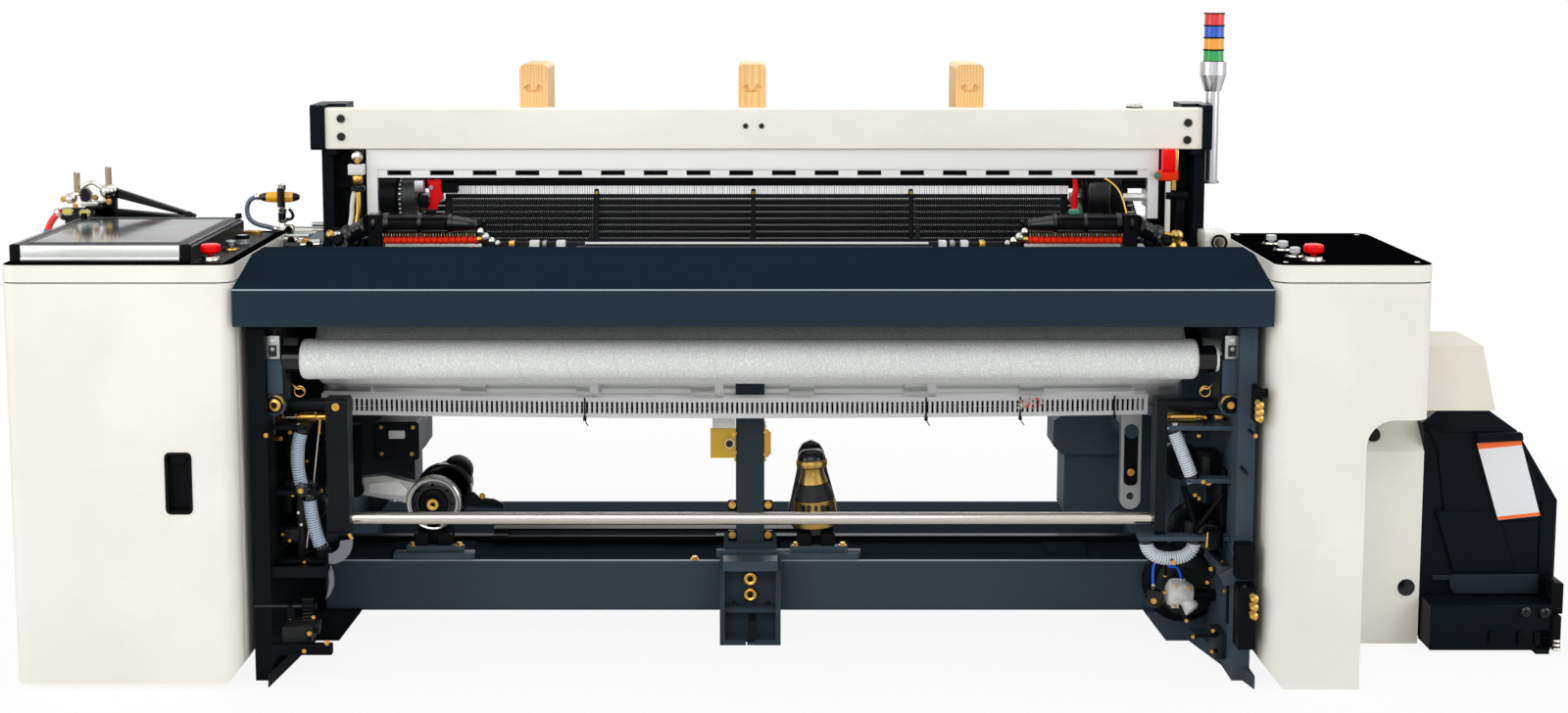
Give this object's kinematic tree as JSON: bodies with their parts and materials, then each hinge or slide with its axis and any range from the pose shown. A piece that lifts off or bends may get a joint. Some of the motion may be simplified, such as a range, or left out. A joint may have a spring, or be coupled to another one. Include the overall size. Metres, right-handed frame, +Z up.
{
  "type": "power loom",
  "caption": "Jet power loom for weaving cloth, with rollers, reed, temples, a cream cabinet at each end and a motor cover.",
  "frame": {"origin": "middle of the loom's footprint, on the floor", "axes": "+X along the loom's width to its right as seen from the cloth side, +Y from the cloth side to the warp side, +Z up"},
  "size_m": [3.7144, 1.44, 1.516],
  "materials": {
    "cream_paint": "smooth",
    "cream_lid": "smooth",
    "navy_paint": "satin",
    "cast_dark": "painted",
    "black_plastic": "gloss",
    "screen_glass": "polished",
    "black_glass": "polished",
    "red_button": "gloss",
    "pale_button": "gloss",
    "black_paint": "satin",
    "steel": "brushed",
    "polished_steel": "polished",
    "yellow_plate": "satin",
    "grip_cover": "rough",
    "duct_plastic": "matte",
    "aluminium": "brushed",
    "reed_steel": "fine",
    "wood": "oiled",
    "lamp_lens": "gloss",
    "rotor_black": "satin",
    "red_lever": "satin",
    "temple_ring": "matte",
    "hose_plastic": "satin",
    "valve_white": "matte",
    "brass": "machined",
    "feeder_metal": "satin"
  },
  "bodies": {
    "loom_frame": {"left_cabinet": "cream_paint", "left_top_rim": "cream_lid", "touch_panel": "black_plastic", "touch_screen": "screen_glass", "right_cabinet": "cream_paint", "right_top_rim": "cream_lid", "right_glass_panel": "black_glass", "upper_side_box": "cream_paint", "lower_side_cover": "cream_paint", "drive_cover": "black_paint", "drive_stand": "cast_dark", "drive_motor": "cast_dark", "left_side_frame": "cast_dark", "right_side_frame": "cast_dark", "front_stay": "navy_paint", "rear_stay": "navy_paint", "breast_beam": "navy_paint", "front_cover": "navy_paint", "centre_post": "navy_paint", "clamp_plates": "yellow_plate", "centre_foot": "navy_paint", "roller_brackets": "cast_dark", "cable_duct": "duct_plastic", "top_beam": "cream_paint", "beam_posts": "black_paint", "harness_rail": "aluminium", "wooden_guides": "wood", "signal_pole": "steel", "signal_lamps": "lamp_lens", "leno_levers": "red_lever", "temple_bodies": "black_plastic", "warp_stop_rails": "steel", "hoses": "hose_plastic", "air_valve": "valve_white", "brass_fittings": "brass", "nozzle_columns": "brass", "weft_guides": "feeder_metal"},
    "left_door": {"left_door": "cream_paint"},
    "left_stop": {"left_stop_button": "red_button"},
    "left_start": {"left_start_button": "steel"},
    "right_stop": {"right_stop_button": "red_button"},
    "button_1": {"right_button_1": "pale_button"},
    "button_2": {"right_button_2": "pale_button"},
    "button_3": {"right_button_3": "pale_button"},
    "main_drive_shaft": {"main_shaft": "steel"},
    "press": {"press_roller": "grip_cover"},
    "take_up": {"take_up_roller": "grip_cover"},
    "back_rest": {"back_rest_roller": "steel"},
    "cloth_bar": {"cloth_shaft": "polished_steel"},
    "sley_swing": {"sley": "aluminium", "reed": "reed_steel"},
    "left_leno": {"left_leno_rotor": "rotor_black"},
    "right_leno": {"right_leno_rotor": "rotor_black"},
    "left_ring_roller": {"left_temple_roller": "temple_ring"},
    "right_ring_roller": {"right_temple_roller": "temple_ring"},
    "left_lever": {"left_jack_lever": "aluminium"},
    "centre_lever": {"centre_jack_lever": "cast_dark"},
    "right_lever": {"right_jack_lever": "aluminium"},
    "link": {"lever_link": "aluminium"},
    "bars": {"connecting_bars": "aluminium"}
  },
  "joints": [
    {"name": "door_hinge", "type": "hinge", "parent": "loom_frame", "child": "left_door", "pos_m": [-1.74975, -0.674, 0.47], "axis": [0, 0, -1], "range_deg": [0, 110]},
    {"name": "left_stop_press", "type": "slide", "parent": "loom_frame", "child": "left_stop", "axis": [0, 0, -1], "range_m": [0, 0.006], "stiffness_N_per_m": 1500},
    {"name": "left_start_press", "type": "slide", "parent": "loom_frame", "child": "left_start", "axis": [0, 0, -1], "range_m": [0, 0.004], "stiffness_N_per_m": 800},
    {"name": "right_stop_press", "type": "slide", "parent": "loom_frame", "child": "right_stop", "axis": [0, 0, -1], "range_m": [0, 0.006], "stiffness_N_per_m": 1500},
    {"name": "button_1_press", "type": "slide", "parent": "loom_frame", "child": "button_1", "axis": [0, 0, -1], "range_m": [0, 0.004], "stiffness_N_per_m": 800},
    {"name": "button_2_press", "type": "slide", "parent": "loom_frame", "child": "button_2", "axis": [0, 0, -1], "range_m": [0, 0.004], "stiffness_N_per_m": 800},
    {"name": "button_3_press", "type": "slide", "parent": "loom_frame", "child": "button_3", "axis": [0, 0, -1], "range_m": [0, 0.004], "stiffness_N_per_m": 800},
    {"name": "main_shaft_spin", "type": "hinge", "parent": "loom_frame", "child": "main_drive_shaft", "pos_m": [1.32225, -0.1, 0.36], "axis": [1, 0, 0], "continuous": true},
    {"name": "take_up_spin", "type": "hinge", "parent": "loom_frame", "child": "take_up", "pos_m": [-0.07775, -0.4816, 0.741], "axis": [1, 0, 0], "continuous": true},
    {"name": "press_spin", "type": "hinge", "parent": "loom_frame", "child": "press", "pos_m": [-0.07775, -0.61, 0.741], "axis": [1, 0, 0], "continuous": true},
    {"name": "back_rest_spin", "type": "hinge", "parent": "loom_frame", "child": "back_rest", "pos_m": [-0.07775, 0.64, 0.86], "axis": [1, 0, 0], "continuous": true},
    {"name": "cloth_bar_spin", "type": "hinge", "parent": "loom_frame", "child": "cloth_bar", "pos_m": [-0.07775, -0.57, 0.358], "axis": [1, 0, 0], "continuous": true},
    {"name": "sley_rock", "type": "hinge", "parent": "loom_frame", "child": "sley_swing", "pos_m": [-0.07775, -0.24, 0.61], "axis": [1, 0, 0], "range_deg": [0, 22]},
    {"name": "left_leno_spin", "type": "hinge", "parent": "loom_frame", "child": "left_leno", "pos_m": [-0.94575, -0.145, 1.06], "axis": [1, 0, 0], "continuous": true},
    {"name": "right_leno_spin", "type": "hinge", "parent": "loom_frame", "child": "right_leno", "pos_m": [0.78325, -0.145, 1.06], "axis": [1, 0, 0], "continuous": true},
    {"name": "left_ring_spin", "type": "hinge", "parent": "loom_frame", "child": "left_ring_roller", "pos_m": [-0.83775, -0.362, 0.981], "axis": [1, 0, 0], "continuous": true},
    {"name": "right_ring_spin", "type": "hinge", "parent": "loom_frame", "child": "right_ring_roller", "pos_m": [0.68225, -0.362, 0.981], "axis": [1, 0, 0], "continuous": true},
    {"name": "lever_rock", "type": "hinge", "parent": "loom_frame", "child": "left_lever", "pos_m": [-0.86075, -0.278, 0.32], "axis": [0, 1, 0], "range_deg": [-10, 10]},
    {"name": "centre_lever_rock", "type": "hinge", "parent": "loom_frame", "child": "centre_lever", "pos_m": [0.07625, -0.278, 0.29], "axis": [0, 1, 0], "range_deg": [-10, 10]},
    {"name": "right_lever_rock", "type": "hinge", "parent": "loom_frame", "child": "right_lever", "pos_m": [0.84825, -0.278, 0.5], "axis": [0, 1, 0], "range_deg": [-10, 10]},
    {"name": "link_lift", "type": "slide", "parent": "loom_frame", "child": "link", "axis": [0, 0, 1], "range_m": [-0.0328, 0.0328]},
    {"name": "bar_shift", "type": "slide", "parent": "loom_frame", "child": "bars", "axis": [1, 0, 0], "range_m": [-0.0166, 0.0166]}
  ],
  "couplings": [
    {"joint": "press_spin", "follows": "take_up_spin", "ratio": -1.7826},
    {"joint": "centre_lever_rock", "follows": "lever_rock", "ratio": 1},
    {"joint": "right_lever_rock", "follows": "lever_rock", "ratio": -1},
    {"joint": "link_lift", "follows": "lever_rock", "m_per_rad": 0.187},
    {"joint": "bar_shift", "follows": "lever_rock", "m_per_rad": -0.094}
  ]
}
